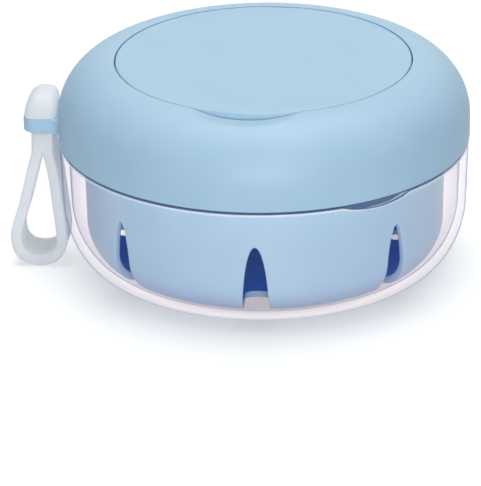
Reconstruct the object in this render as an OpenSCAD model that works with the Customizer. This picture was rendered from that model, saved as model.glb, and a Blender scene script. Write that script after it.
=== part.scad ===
// Round denture case: a clear bowl, a strainer basket that hangs in it, and a domed lid
// with a flip-up mirror cover and a silicone carrying strap.
// Millimetres. The origin is the centre of the bowl's underside and +Z is up. The cover
// opens at the front, which is -Y, and the strap hangs at the left, which is -X.

/* [Bowl] */
// Outer diameter of the bowl at its rim
bowl_d = 99.6; // [96:0.2:106]
// Height of the bowl's rim above the table
bowl_h = 31.6; // [30:0.2:40]
// Thickness of the bowl's side wall
bowl_wall = 2; // [1.7:0.1:2.4]
// Thickness of the bowl's floor
bowl_floor = 1.5; // [1.2:0.1:2.4]
// How far the side leans in between the rim and the rounded bottom
bowl_lean = 0.5; // [0:0.1:1.5]
// Width of the rounded bottom, measured along the radius
bowl_corner_w = 11.7; // [8:0.1:13]
// Height of the rounded bottom
bowl_corner_h = 17; // [12:0.5:20]
// Thickness of the thin lip that stands round the basket's flange
rim_lip_t = 0.8; // [0.6:0.1:1]
// Height of that lip above the flange's seat
rim_lip_h = 0.4; // [0.2:0.1:0.8]
// Width of the finger notch in the rim
notch_w = 19; // [12:0.5:24]
// Depth of the finger notch
notch_depth = 1.4; // [0.8:0.1:2.4]
// Direction of the finger notch, anticlockwise from +X
notch_angle = 310; // [280:1:340]

/* [Basket] */
// Water space between the basket's side and the bowl's wall
basket_gap = 3.8; // [2.5:0.1:5]
// Gap under the basket, above the bowl's floor
basket_rise = 0.5; // [0.4:0.1:1.5]
// Thickness of the basket's side wall
basket_wall = 1.6; // [1.2:0.1:2]
// Thickness of the basket's floor
basket_floor = 1.6; // [1.2:0.1:2]
// How far the basket's side leans in between its flange and its rounded bottom
basket_lean = 0.4; // [0:0.1:1]
// Width of the basket's rounded bottom, measured along the radius
basket_corner_w = 7.6; // [7:0.1:13]
// Height of the basket's rounded bottom
basket_corner_h = 9; // [8:0.5:14]
// Thickness of the flange that hangs on the bowl's rim
flange_t = 0.9; // [0.7:0.1:1.2]
// Clearance between the flange's edge and the bowl's lip
flange_fit = 0.2; // [0.1:0.05:0.3]
// Number of drain slots round the basket
slot_count = 7; // [4:1:7]
// Angle between neighbouring drain slots
slot_step = 49; // [40:0.2:51.4]
// Width of a drain slot at the basket's underside
slot_w = 6.3; // [4.5:0.1:8]
// Height of a drain slot above the basket's underside
slot_h = 18.6; // [12:0.2:20]
// How far a drain slot runs into the floor, measured in from the basket's side
slot_run = 13.5; // [10.5:0.5:18]
// Direction of the middle of the row of drain slots, anticlockwise from +X
slot_angle = 274.2; // [265:0.2:285]
// Height of the lifting grip under the flange
grip_h = 2.2; // [1:0.1:4]
// Clearance between the lifting grip and the bowl's wall
grip_fit = 0.6; // [0.4:0.1:1]

/* [Lid] */
// How far the lid's side stands out past the bowl's rim
lid_overhang = 0.2; // [0:0.05:0.4]
// Gap between the lid's lower edge and the basket's flange
lid_gap = 0.1; // [0.05:0.05:0.3]
// Thickness of the lid's wall
lid_wall = 2; // [1.7:0.1:2.3]
// Height of the lid's upright side, below the shoulder
lid_side_h = 5.5; // [4:0.5:9]
// Radius of the lid's round shoulder
shoulder_r = 13.8; // [12:0.2:15]
// Thickness of the ring inside the lid that reaches into the basket
skirt_t = 1.4; // [1.1:0.1:1.8]
// How far that ring reaches below the lid's edge
skirt_reach = 2.8; // [1.5:0.1:6]
// Clearance between that ring and the basket
skirt_fit = 0.3; // [0.25:0.05:0.5]
// Number of ribs that press on the seal
rib_count = 12; // [6:1:24]
// Thickness of a rib
rib_t = 1.2; // [0.8:0.1:1.6]
// Height of a rib
rib_h = 5; // [3:0.5:6]
// Thickness of the seal
seal_t = 1.8; // [1.2:0.1:2.4]
// Clearance round the seal
seal_fit = 0.3; // [0.1:0.1:0.5]

/* [Flip cover] */
// Gap round the flip cover
cover_gap = 0.3; // [0.2:0.05:0.5]
// Thickness of the flip cover
cover_t = 2.4; // [2:0.1:3]
// Radius of the flip cover's upper edge
cover_edge = 0.5; // [0.3:0.1:0.8]
// Gap between the closed cover and the ledge under it
cover_seat = 0.1; // [0.05:0.05:0.3]
// Width of the ledge under the cover's edge
ledge_w = 1.5; // [1:0.1:2.5]
// Depth of the space for the cover and the mirror
recess_depth = 5.4; // [5.2:0.1:7]
// Thickness of the floor and wall of that space
recess_wall = 1.6; // [1.2:0.1:2]
// Width of the finger scoop in front of the cover
scoop_w = 25.8; // [20:0.2:30]
// Depth of the scoop at the cover's edge
scoop_depth = 1.7; // [1.2:0.1:2]
// How far the scoop runs out over the shoulder
scoop_reach = 5.4; // [4:0.2:6]
// Width of the moulded hinge strip at the back
hinge_w = 12; // [8:0.5:16]
// Thickness of the moulded hinge strip
hinge_t = 0.4; // [0.3:0.05:0.6]
// Width of the cover's border round the mirror
mirror_border = 5.8; // [3.8:0.1:15]
// Thickness of the mirror
mirror_t = 1.5; // [1:0.1:1.8]
// Thickness of the adhesive pad behind the mirror
pad_t = 0.5; // [0.3:0.1:0.8]
// How far the pad stays inside the mirror's edge
pad_inset = 3; // [1:0.5:10]
// Clearance between the mirror and the low rim round it
mirror_fit = 0.3; // [0.2:0.1:0.5]
// Thickness of the low rim round the mirror
mirror_rim_t = 1.2; // [0.8:0.1:1.6]

/* [Lug and strap] */
// Direction of the lug, anticlockwise from +X
lug_angle = 182.5; // [170:0.5:190]
// Length of the lug, out from the lid's side
lug_l = 8.5; // [8:0.1:11]
// Width of the lug
lug_w = 11.8; // [11.4:0.1:14]
// Thickness of the lug
lug_t = 3.7; // [2.5:0.1:4.5]
// Height of the lug's underside above the lid's lower edge
lug_rise = 0.75; // [0.5:0.05:1.2]
// Radius of the lug's outer corners
lug_corner_r = 3; // [1:0.1:4]
// Radius where the lug meets the lid
lug_root_r = 2.5; // [1:0.1:4]
// Width of the strap's band
strap_w = 11; // [8:0.1:11.2]
// Thickness of the strap's band
strap_t = 2.65; // [2.2:0.05:3]
// Distance of the strap's neck from the lid's side
strap_out = 4.2; // [4.1:0.1:4.6]
// Outer radius of the loop's round bottom
loop_r = 5.9; // [5.4:0.1:5.9]
// How far the loop's round bottom stands out past its neck
loop_out = 1.8; // [1.8:0.1:2.6]
// Angle at which the loop leans towards the front
strap_lean = 6; // [0:0.5:8]
// Gap between the loop and the table
strap_rise = 0.25; // [0.1:0.05:1]
// Length of the neck's section in the lug
neck_w = 6.4; // [5:0.1:7]
// Clearance round the neck in the lug
neck_fit = 0.3; // [0.2:0.05:0.5]
// Width of the strap's head above the lug
head_w = 7; // [6:0.1:7.5]
// Height of the strap's head above the lug
head_h = 5.1; // [4.2:0.1:5.6]
// Running gap at the strap's flexing place
flex_gap = 0.1; // [0.05:0.05:0.3]

/* [Hidden] */
$fn = 96;
over = 1;              // how far a cutting shape runs past a face
blend = 0.4;           // how far two shapes of one piece run into each other
corner_steps = 14;     // straight steps in a quarter of an elliptical corner
arc_steps = 18;        // straight steps in half a turn of the strap's outline
edge_r = 0.3;          // radius of the small moulded edges

bowl_r = bowl_d / 2;
rim_r = bowl_r - rim_lip_t;
seat_z = bowl_h - rim_lip_h;
bowl_in_r = bowl_r - bowl_wall;

basket_r = bowl_in_r - basket_gap;
basket_in_r = basket_r - basket_wall;
basket_z = bowl_floor + basket_rise;
flange_r = rim_r - flange_fit;
flange_top = seat_z + flange_t;
grip_r = bowl_in_r - grip_fit;

lid_z = flange_top + lid_gap;
lid_r = bowl_r + lid_overhang;
top_z = lid_z + lid_side_h + shoulder_r;
arc_r = lid_r - shoulder_r;             // radius at which the shoulder's arc ends on top
recess_land = 0.1;                      // flat left on top round the cover's space
skirt_r = basket_in_r - skirt_fit;
skirt_in_r = skirt_r - skirt_t;
seal_top = flange_top + seal_t;

recess_r = arc_r - recess_land;
cover_r = recess_r - cover_gap;
cover_z = top_z - cover_t;
ledge_z = cover_z - cover_seat;
recess_z = top_z - recess_depth;
tray_r = recess_r - ledge_w;            // radius of the recess below its ledge
mirror_r = cover_r - mirror_border;
hinge_y = sqrt(pow(cover_r, 2) - pow(hinge_w / 2, 2));
hinge_step = 0.15;                      // the axis lies this far behind the cover's flat

// The scoop is a large sphere through three points: its depth at the recess wall, its
// outer end on the shoulder, and both ends of its width on the recess wall.
scoop_end_r = recess_r + scoop_reach;
scoop_end_z = sqrt(pow(shoulder_r, 2) - pow(scoop_end_r - arc_r, 2)) - shoulder_r;
scoop_side_y = sqrt(pow(recess_r, 2) - pow(scoop_w / 2, 2));
scoop_fall = scoop_end_z + scoop_depth;
scoop_y = (pow(scoop_end_r, 2) - pow(recess_r, 2) + pow(scoop_end_z, 2) - pow(scoop_depth, 2)
           + scoop_depth * scoop_fall)
          / (2 * scoop_reach + 2 * scoop_fall * (recess_r - scoop_side_y) / scoop_depth);
scoop_z = scoop_y * (recess_r - scoop_side_y) / scoop_depth - scoop_depth / 2;
scoop_ball_r = norm([recess_r - scoop_y, scoop_depth + scoop_z]);
scoop_skin = 1.6;                       // material left under the scoop

strap_r = lid_r + strap_out;
lug_z = lid_z + lug_rise;
collar_z0 = 1.5;                        // drop of the collar's top below the lug
collar_t = 0.7;                         // thickness of the collar
fork_r = 0.15;                          // radius at the top of the loop's opening
pivot_drop = collar_z0 + collar_t + flex_gap + strap_t;
loop_drop = (lug_z - strap_rise - strap_w / 2 * sin(strap_lean)) / cos(strap_lean) - loop_r;

// Points of a quarter ellipse from its lowest point to its outermost point
function corner(r, z, w, h) =
    [for (i = [0:corner_steps]) let (a = 90 * i / corner_steps)
        [r + w * sin(a), z + h * (1 - cos(a))]];

function reversed(points) = [for (i = [len(points) - 1:-1:0]) points[i]];

// Section of a round tub with a thin bottom, a rounded corner and a leaning side
module tub_section(r, lean, wall, z, floor_t, corner_w, corner_h, top) {
    low_r = r - lean;
    outer = corner(low_r - corner_w, z, corner_w, corner_h);
    inner = corner(low_r - wall - corner_w, z + floor_t, corner_w, corner_h - floor_t);
    polygon(concat([[0, z]], outer, [[r, top], [r - wall, top]], reversed(inner),
                   [[0, z + floor_t]]));
}

// Section of a solid dome with an upright side and a round shoulder
module dome_section(r, side, shoulder) {
    intersection() {
        union() {
            square([r, side]);
            square([r - shoulder, side + shoulder]);
            translate([r - shoulder, side]) circle(shoulder);
        }
        square([r, side + shoulder]);
    }
}

module dome(r, shoulder) {
    translate([0, 0, lid_z]) rotate_extrude() dome_section(r, lid_side_h, shoulder);
}

module ring(r_in, r_out, z0, z1) {
    translate([0, 0, z0]) difference() {
        cylinder(r = r_out, h = z1 - z0);
        translate([0, 0, -over]) cylinder(r = r_in, h = z1 - z0 + 2 * over);
    }
}

module bowl() {
    notch_ball = (pow(notch_w / 2, 2) + pow(notch_depth, 2)) / (2 * notch_depth);
    color([0.90, 0.90, 0.94, 0.35]) difference() {
        rotate_extrude() union() {
            tub_section(bowl_r, bowl_lean, bowl_wall, 0, bowl_floor, bowl_corner_w,
                        bowl_corner_h, seat_z);
            translate([rim_r, seat_z - blend])
                square([rim_lip_t, rim_lip_h + blend - edge_r]);
            translate([rim_r, seat_z - blend]) square([rim_lip_t - edge_r, rim_lip_h + blend]);
            translate([bowl_r - edge_r, bowl_h - edge_r]) circle(edge_r);
        }
        rotate([0, 0, notch_angle])
            translate([basket_r, 0, bowl_h - notch_depth + notch_ball])
                rotate([0, 90, 0]) cylinder(r = notch_ball, h = bowl_r - basket_r + over);
    }
}

// Upper half of an ellipse round the basket's underside, with an upright facet across it
module slot_outline() {
    half_steps = 6;
    step = 90 / (half_steps - 0.5);
    polygon([for (i = [0:2 * half_steps]) let (a = step * (i - 0.5))
        [slot_w / 2 * cos(a) / cos(step / 2), slot_h * sin(a)]]);
}

module drain_slot() {
    translate([basket_r - slot_run, 0, basket_z]) rotate([90, 0, 90])
        linear_extrude(slot_run + over) slot_outline();
}

module basket() {
    grip_angle = asin(notch_w / 2 / basket_r);
    color([0.62, 0.79, 0.88]) union() {
        difference() {
            rotate_extrude() union() {
                tub_section(basket_r, basket_lean, basket_wall, basket_z, basket_floor,
                            basket_corner_w, basket_corner_h, seat_z + blend);
                translate([basket_in_r, seat_z]) square([flange_r - basket_in_r, flange_t]);
            }
            for (i = [0:slot_count - 1])
                rotate([0, 0, slot_angle + slot_step * (i - (slot_count - 1) / 2)]) drain_slot();
        }
        rotate([0, 0, notch_angle - grip_angle]) rotate_extrude(angle = 2 * grip_angle)
            translate([basket_r - blend, seat_z - grip_h])
                square([grip_r - basket_r + blend, grip_h + blend]);
    }
}

module lug_outline() {
    root = lid_r - lid_wall / 2;
    tip = lid_r + lug_l;
    half = lug_w / 2;
    difference() {
        union() {
            translate([root, -half]) square([tip - lug_corner_r - root, lug_w]);
            translate([root, lug_corner_r - half])
                square([tip - root, lug_w - 2 * lug_corner_r]);
            for (s = [-1, 1]) translate([tip - lug_corner_r, s * (half - lug_corner_r)])
                circle(lug_corner_r);
            translate([root, -half - lug_root_r])
                square([lid_r - root + lug_root_r - blend, lug_w + 2 * lug_root_r]);
        }
        for (s = [-1, 1]) translate([lid_r + lug_root_r - blend, s * (half + lug_root_r)])
            circle(lug_root_r);
        neck_outline(neck_fit);
    }
}

// Section of the strap's neck, grown all round by a clearance
module neck_outline(fit) {
    r = strap_t / 2 + fit;
    half = (neck_w - strap_t) / 2;
    translate([strap_r, 0]) union() {
        translate([-r, -half]) square([2 * r, 2 * half]);
        for (s = [-1, 1]) translate([0, s * half]) circle(r);
    }
}

module scoop_ball(grow) {
    translate([0, -scoop_y, top_z + scoop_z]) sphere(scoop_ball_r + grow);
}

module skirt_and_ribs() {
    reach = shoulder_r - lid_wall;
    skirt_top = lid_z + lid_side_h + sqrt(pow(reach, 2) - pow(skirt_in_r - arc_r, 2)) + blend / 2;
    ring(skirt_in_r, skirt_r, lid_z - skirt_reach, skirt_top);
    for (i = [0:rib_count - 1]) rotate([0, 0, 360 * i / rib_count])
        translate([skirt_r - blend, -rib_t / 2, seal_top])
            cube([lid_r - lid_wall - skirt_r + 2 * blend, rib_t, rib_h]);
}

module recess_wall_solid() {
    step_z = ledge_z - recess_wall;
    intersection() {
        dome(lid_r, shoulder_r);
        union() {
            translate([0, 0, step_z]) cylinder(r = recess_r + recess_wall, h = top_z - step_z);
            translate([0, 0, recess_z - recess_wall])
                cylinder(r = tray_r + recess_wall, h = step_z - recess_z + recess_wall + blend);
        }
    }
}

module hinge_strip() {
    translate([-hinge_w / 2, hinge_y + 2 * hinge_step, top_z - hinge_t])
        cube([hinge_w, arc_r - hinge_y - 2 * hinge_step, hinge_t]);
}

module lid_shell() {
    color([0.66, 0.81, 0.90]) union() {
        difference() {
            union() {
                difference() {
                    dome(lid_r, shoulder_r);
                    dome(lid_r - lid_wall, shoulder_r - lid_wall);
                }
                skirt_and_ribs();
                recess_wall_solid();
                intersection() {
                    dome(lid_r - lid_wall / 2, shoulder_r - lid_wall / 2);
                    scoop_ball(scoop_skin);
                }
            }
            translate([0, 0, ledge_z]) cylinder(r = recess_r, h = cover_t + over);
            translate([0, 0, recess_z]) cylinder(r = tray_r, h = recess_depth + over);
            scoop_ball(0);
        }
        hinge_strip();
        translate([0, 0, lug_z]) rotate([0, 0, lug_angle]) linear_extrude(lug_t) lug_outline();
    }
}

module seal_ring() {
    color([0.93, 0.93, 0.92])
        ring(skirt_r, lid_r - lid_wall - seal_fit, flange_top, seal_top);
}

module flip_cover() {
    rim_in = mirror_r + mirror_fit;
    color([0.70, 0.84, 0.92]) difference() {
        union() {
            translate([0, 0, cover_z]) rotate_extrude() union() {
                square([cover_r, cover_t - cover_edge]);
                square([cover_r - cover_edge, cover_t]);
                translate([cover_r - cover_edge, cover_t - cover_edge]) circle(cover_edge);
            }
            ring(rim_in, rim_in + mirror_rim_t, cover_z - pad_t - mirror_t / 2, cover_z + blend);
        }
        translate([-hinge_w / 2 - hinge_step, hinge_y - hinge_step, cover_z - over])
            cube([hinge_w + 2 * hinge_step, cover_r, cover_t + 2 * over]);
    }
}

module mirror_pad() {
    color([0.85, 0.85, 0.82]) translate([0, 0, cover_z - pad_t])
        cylinder(r = mirror_r - pad_inset, h = pad_t);
}

module mirror() {
    color([0.80, 0.84, 0.88]) translate([0, 0, cover_z - pad_t - mirror_t])
        cylinder(r = mirror_r, h = mirror_t);
}

// Frame of the strap below the lug: the origin is in the neck at the lug's underside,
// +X points out from the lid, and the strap runs down -Z and leans to the front
module strap_frame() {
    rotate([0, 0, lug_angle]) translate([strap_r, 0, lug_z]) rotate([strap_lean, 0, 0])
        children();
}

module strap_head() {
    arch_r = head_w / 2;
    color([0.95, 0.95, 0.96]) union() {
        rotate([0, 0, lug_angle]) translate([strap_r, strap_w / 2, lug_z + lug_t])
            rotate([90, 0, 0]) linear_extrude(strap_w) union() {
                translate([-arch_r, 0]) square([head_w, head_h - arch_r]);
                intersection() {
                    translate([0, head_h - arch_r]) circle(arch_r);
                    translate([-arch_r, 0]) square([head_w, head_h]);
                }
            }
        translate([0, 0, lug_z - collar_z0]) rotate([0, 0, lug_angle])
            linear_extrude(lug_t + collar_z0 + blend) neck_outline(0);
        strap_frame() translate([-strap_t, -strap_w / 2, -collar_z0 - collar_t])
            cube([2 * strap_t, strap_w, collar_t]);
    }
}

// Outline of two circles joined by their outer tangents: the first one at the strap's
// flexing place, the second one at the round bottom of the loop
module teardrop(top_r, bottom_r) {
    fall = loop_drop - pivot_drop;
    span = norm([loop_out, fall]);
    spread = asin((bottom_r - top_r) / span);
    translate([0, -pivot_drop]) rotate(atan2(loop_out, fall)) polygon(concat(
        [for (i = [0:arc_steps]) let (a = spread + (180 - 2 * spread) * i / arc_steps)
            [top_r * cos(a), top_r * sin(a)]],
        [for (i = [0:2 * arc_steps])
            let (a = 180 - spread + (180 + 2 * spread) * i / (2 * arc_steps))
            [bottom_r * cos(a), bottom_r * sin(a) - span]]));
}

module loop_outline() {
    difference() {
        teardrop(strap_t, loop_r);
        teardrop(fork_r, loop_r - strap_t);
    }
}

module strap_loop() {
    color([0.95, 0.95, 0.96]) strap_frame() translate([0, strap_w / 2, 0])
        rotate([90, 0, 0]) linear_extrude(strap_w) loop_outline();
}

bowl();
basket();
lid_shell();
seal_ring();
flip_cover();
mirror();
mirror_pad();
strap_head();
strap_loop();
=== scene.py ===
# %% [markdown]
# # A denture case in Blender
# The real object is a round soaking case for dentures: a clear bowl, a strainer basket that
# hangs in its rim, a domed lid with a flip-up mirror cover, and a soft white strap.
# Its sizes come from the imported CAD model, which is loaded here as a fixed frame. This
# lesson builds smooth, finished pieces on that frame and gives each the material of the
# real one. Lengths are written in millimetres and turned to metres when a mesh is made.

# %% Load the frame
import math

import bmesh
import bpy
from mathutils import Matrix, Vector


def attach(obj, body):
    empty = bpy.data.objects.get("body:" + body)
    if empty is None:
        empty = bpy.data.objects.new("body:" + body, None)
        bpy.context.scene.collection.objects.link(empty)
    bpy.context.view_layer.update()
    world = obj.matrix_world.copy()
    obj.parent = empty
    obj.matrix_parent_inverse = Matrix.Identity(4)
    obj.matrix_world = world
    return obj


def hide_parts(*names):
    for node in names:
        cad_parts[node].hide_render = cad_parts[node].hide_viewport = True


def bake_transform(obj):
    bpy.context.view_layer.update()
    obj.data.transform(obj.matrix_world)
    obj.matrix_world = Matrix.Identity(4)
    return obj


MM = 0.001
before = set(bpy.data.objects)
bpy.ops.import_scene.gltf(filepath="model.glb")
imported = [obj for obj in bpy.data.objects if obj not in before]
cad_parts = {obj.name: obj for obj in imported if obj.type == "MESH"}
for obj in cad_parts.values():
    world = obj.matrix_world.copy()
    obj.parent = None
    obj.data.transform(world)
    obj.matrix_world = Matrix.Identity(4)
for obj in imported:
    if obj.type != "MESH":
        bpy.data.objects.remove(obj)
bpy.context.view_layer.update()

# %% [markdown]
# ## The sizes of the case
# Every piece repeats a few sizes of the CAD model, because the pieces have to meet on the
# same faces: the rim, the basket's flange, the parting plane and the lid's top.

# %% Shared sizes
BOWL_R, BOWL_RIM_Z, BOWL_WALL, BOWL_FLOOR = 49.8, 31.6, 2.0, 1.5
SEAT_Z, RIM_LIP = 31.2, 0.8
NOTCH_W, NOTCH_DEPTH, NOTCH_ANGLE = 19.0, 1.4, 310.0
BASKET_R, BASKET_Z, BASKET_WALL, FLANGE_R, FLANGE_TOP = 44.0, 2.0, 1.6, 48.8, 32.1
LID_R, LID_Z, LID_SIDE, SHOULDER_R, LID_WALL = 50.0, 32.2, 5.5, 13.8, 2.0
TOP_Z = LID_Z + LID_SIDE + SHOULDER_R
RECESS_R, COVER_R = 36.1, 35.8
LUG_ANGLE, LUG_Z, LUG_T, STRAP_R = 182.5, LID_Z + 0.75, 3.7, 54.2
print("Height of the case in mm:", TOP_Z)

# %% [markdown]
# ## Camera
# The picture was taken from a little to the right of the front, looking down by about 22
# degrees with a long lens. The camera aims at the middle of the parting plane and is then
# turned by a small angle, so that this point lands where it does in the picture. Turning
# the camera instead of shifting the lens keeps the perspective of the real picture.

# %% Place the camera
AZIMUTH, ELEVATION, ROLL = 7.5, 22.1, -0.64
DISTANCE_MM, PIXELS_PER_MM = 1000.0, 4.108
PICTURE_W, PICTURE_H = 481, 486
AIM_PIXEL = (264.12, 132.17)
SENSOR_MM = 36.0


def make_camera():
    """A camera at the picture's viewing angle."""
    a, e = math.radians(AZIMUTH), math.radians(ELEVATION)
    back = Vector((math.sin(a) * math.cos(e), -math.cos(a) * math.cos(e), math.sin(e)))
    focal_px = DISTANCE_MM * PIXELS_PER_MM
    data = bpy.data.cameras.new("picture_camera")
    data.sensor_width = SENSOR_MM
    data.lens = focal_px * SENSOR_MM / max(PICTURE_W, PICTURE_H)
    data.clip_start, data.clip_end = 0.05, 20
    cam = bpy.data.objects.new("picture_camera", data)
    bpy.context.collection.objects.link(cam)
    aim = Vector((AIM_PIXEL[0] - PICTURE_W / 2, PICTURE_H / 2 - AIM_PIXEL[1], -focal_px))
    turn = Vector((0, 0, -1)).rotation_difference(aim).to_matrix()
    look = (-back).to_track_quat("-Z", "Y").to_matrix()
    roll = Matrix.Rotation(math.radians(ROLL), 3, "Z")
    cam.matrix_world = (look @ roll @ turn.inverted()).to_4x4()
    cam.location = Vector((0, 0, LID_Z)) * MM + back * DISTANCE_MM * MM
    bpy.context.scene.camera = cam
    return cam


camera = make_camera()
print("Lens in mm:", round(camera.data.lens, 1))

# %% [markdown]
# ## Helpers for meshes
# Nearly all of the case is turned: a section drawn once and swept round the axis. One
# function rounds the corners of such a section, as a mould does, and another sweeps it.


# %% Sections with rounded corners
def rounded(points, steps=4):
    """A path of (r, z) or (r, z, radius) points with an arc at each point that has a radius."""
    out = []
    for i, p in enumerate(points):
        radius = p[2] if len(p) > 2 else 0
        here = Vector(p[:2])
        if not radius:
            out.append(tuple(here))
            continue
        to_last = (Vector(points[i - 1][:2]) - here).normalized()
        to_next = (Vector(points[(i + 1) % len(points)][:2]) - here).normalized()
        half = to_last.angle(to_next) / 2
        middle = here + (to_last + to_next).normalized() * (radius / math.sin(half))
        start = here + to_last * (radius / math.tan(half)) - middle
        end = here + to_next * (radius / math.tan(half)) - middle
        for k in range(steps + 1):
            out.append(tuple(middle + start.slerp(end, k / steps).normalized() * radius))
    return out


def quarter(r, z, w, h, steps):
    """Points of a quarter ellipse from its lowest point at (r, z) to its outermost point."""
    angles = [math.pi / 2 * i / steps for i in range(steps + 1)]
    return [(r + w * math.sin(a), z + h * (1 - math.cos(a))) for a in angles]


def arc(r, z, radius, start, end, steps):
    """Points of an arc round (r, z), with its angles in degrees from +r towards +z."""
    angles = [math.radians(start + (end - start) * i / steps) for i in range(steps + 1)]
    return [(r + radius * math.cos(a), z + radius * math.sin(a)) for a in angles]


print("Points on a test corner:", len(rounded([(0, 0), (2, 0, 0.5), (2, 2)])))


# %% Meshes from points and faces
SHARP_DEG = 32
# Distances in metres: points of one skin that fall together, slivers, and seams of copies
DOUBLES, SLIVERS, SEAM = 1e-6, 1e-7, 2e-6


def finish_mesh(name, verts_mm, faces, sharp_deg=SHARP_DEG):
    """A smooth-shaded mesh object in metres, with doubles merged and faces outward."""
    mesh = bpy.data.meshes.new(name)
    mesh.from_pydata([tuple(c * MM for c in v) for v in verts_mm], [], faces)
    work = bmesh.new()
    work.from_mesh(mesh)
    bmesh.ops.remove_doubles(work, verts=work.verts, dist=DOUBLES)
    bmesh.ops.dissolve_degenerate(work, edges=work.edges, dist=SLIVERS)
    bmesh.ops.recalc_face_normals(work, faces=work.faces)
    work.to_mesh(mesh)
    work.free()
    mesh.shade_smooth()
    mesh.set_sharp_from_angle(angle=math.radians(sharp_deg))
    obj = bpy.data.objects.new(name, mesh)
    bpy.context.collection.objects.link(obj)
    return obj


def lathe(name, section, columns=360, reshape=None):
    """Sweeps a closed section of (r, z) points round Z. reshape moves a point (x, y, z, i)."""
    verts, rows = [], []
    for i, (r, z) in enumerate(section):
        if r < 1e-6:
            rows.append([len(verts)] * columns)
            verts.append((0, 0, z))
            continue
        rows.append(list(range(len(verts), len(verts) + columns)))
        for k in range(columns):
            a = 2 * math.pi * k / columns
            x, y = r * math.cos(a), r * math.sin(a)
            verts.append(reshape(x, y, z, i) if reshape else (x, y, z))
    faces = []
    for i in range(len(rows)):
        low, high = rows[i], rows[(i + 1) % len(rows)]
        if low[0] == low[1] and high[0] == high[1]:
            continue
        for k in range(columns):
            n = (k + 1) % columns
            ring = [low[k], low[n], high[n], high[k]]
            faces.append(list(dict.fromkeys(ring)))
    return finish_mesh(name, verts, faces)


def modified(obj, setup):
    """Applies one modifier that setup(obj) adds, and keeps the result as a plain mesh."""
    modifier = setup(obj)
    graph = bpy.context.evaluated_depsgraph_get()
    mesh = bpy.data.meshes.new_from_object(obj.evaluated_get(graph))
    obj.modifiers.remove(modifier)
    obj.data = mesh
    return obj


def resharpened(obj, other=None, sharp_deg=SHARP_DEG):
    """Merged seams, outward faces and sharp edges again, with other taken into obj."""
    work = bmesh.new()
    work.from_mesh(obj.data)
    if other:
        work.from_mesh(other.data)
        bpy.data.objects.remove(other)
    bmesh.ops.remove_doubles(work, verts=work.verts, dist=SEAM)
    bmesh.ops.recalc_face_normals(work, faces=work.faces)
    work.to_mesh(obj.data)
    print(obj.name, "open edges:", sum(1 for e in work.edges if len(e.link_faces) != 2))
    work.free()
    obj.data.shade_smooth()
    obj.data.set_sharp_from_angle(angle=math.radians(sharp_deg))
    return obj


print("Sharp edges start at", SHARP_DEG, "degrees")


# %% Blocks with softened edges, and pieces cut or joined
EDGE_SEGMENTS, SHARP_RIM_DEG = 3, 50


def softened(body, edge, angle_deg):
    """The body with small rounds on edges that are sharper than this angle."""

    def setup(obj):
        bevel = obj.modifiers.new("edges", "BEVEL")
        bevel.width, bevel.segments, bevel.limit_method = edge * MM, EDGE_SEGMENTS, "ANGLE"
        bevel.angle_limit = math.radians(angle_deg)
        return bevel

    return modified(body, setup)


def plate(name, outline, z0, z1, edge):
    """A flat plate with this outline of (x, y) points and rounded rims."""
    count = len(outline)
    verts = [(x, y, z) for z in (z0, z1) for x, y in outline]
    faces = [tuple(range(count)), tuple(range(2 * count - 1, count - 1, -1))]
    faces += [(i, (i + 1) % count, count + (i + 1) % count, count + i) for i in range(count)]
    body = finish_mesh(name, verts, faces)
    return softened(body, edge, SHARP_RIM_DEG) if edge else body


def combined(obj, tool, operation):
    """obj with the space of tool taken away (DIFFERENCE) or added (UNION). The tool goes."""

    def setup(target):
        boolean = target.modifiers.new("combined", "BOOLEAN")
        boolean.operation, boolean.object, boolean.solver = operation, tool, "EXACT"
        return boolean

    modified(obj, setup)
    bpy.data.objects.remove(tool)
    return obj


print("Softened edges have", EDGE_SEGMENTS, "segments")

# %% [markdown]
# ## Geometry Nodes for what repeats
# The basket's wall is one slotted sector, seven times round, and the lid has twelve ribs on
# its seal. Both are a shape instanced round the axis, so one tree with a named count and
# step makes them, and each result is turned into a plain mesh.


# %% A tree that repeats a shape round the axis
def repeat_tree():
    """Copies the incoming shape Count times round Z, each one Step further, merges the
    seams and sets a material."""
    tree = bpy.data.node_groups.new("repeat_round_axis", "GeometryNodeTree")
    face = tree.interface
    face.new_socket("Shape", in_out="INPUT", socket_type="NodeSocketGeometry")
    face.new_socket("Count", in_out="INPUT", socket_type="NodeSocketInt")
    face.new_socket("Step", in_out="INPUT", socket_type="NodeSocketFloat")
    face.new_socket("Merge Distance", in_out="INPUT", socket_type="NodeSocketFloat")
    face.new_socket("Finish", in_out="INPUT", socket_type="NodeSocketMaterial")
    face.new_socket("Shape", in_out="OUTPUT", socket_type="NodeSocketGeometry")
    new, link = tree.nodes.new, tree.links.new
    given, result = new("NodeGroupInput"), new("NodeGroupOutput")
    points = new("GeometryNodePoints")
    link(given.outputs["Count"], points.inputs["Count"])
    index = new("GeometryNodeInputIndex")
    angle = new("ShaderNodeMath")
    angle.operation = "MULTIPLY"
    link(index.outputs[0], angle.inputs[0])
    link(given.outputs["Step"], angle.inputs[1])
    euler = new("ShaderNodeCombineXYZ")
    link(angle.outputs[0], euler.inputs["Z"])
    rotation = new("FunctionNodeEulerToRotation")
    link(euler.outputs[0], rotation.inputs[0])
    copies = new("GeometryNodeInstanceOnPoints")
    link(points.outputs[0], copies.inputs["Points"])
    link(given.outputs["Shape"], copies.inputs["Instance"])
    link(rotation.outputs[0], copies.inputs["Rotation"])
    real = new("GeometryNodeRealizeInstances")
    link(copies.outputs[0], real.inputs[0])
    merged = new("GeometryNodeMergeByDistance")
    link(real.outputs[0], merged.inputs["Geometry"])
    link(given.outputs["Merge Distance"], merged.inputs["Distance"])
    finish = new("GeometryNodeSetMaterial")
    link(merged.outputs[0], finish.inputs["Geometry"])
    link(given.outputs["Finish"], finish.inputs["Material"])
    link(finish.outputs[0], result.inputs[0])
    return tree


REPEAT = repeat_tree()


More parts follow.
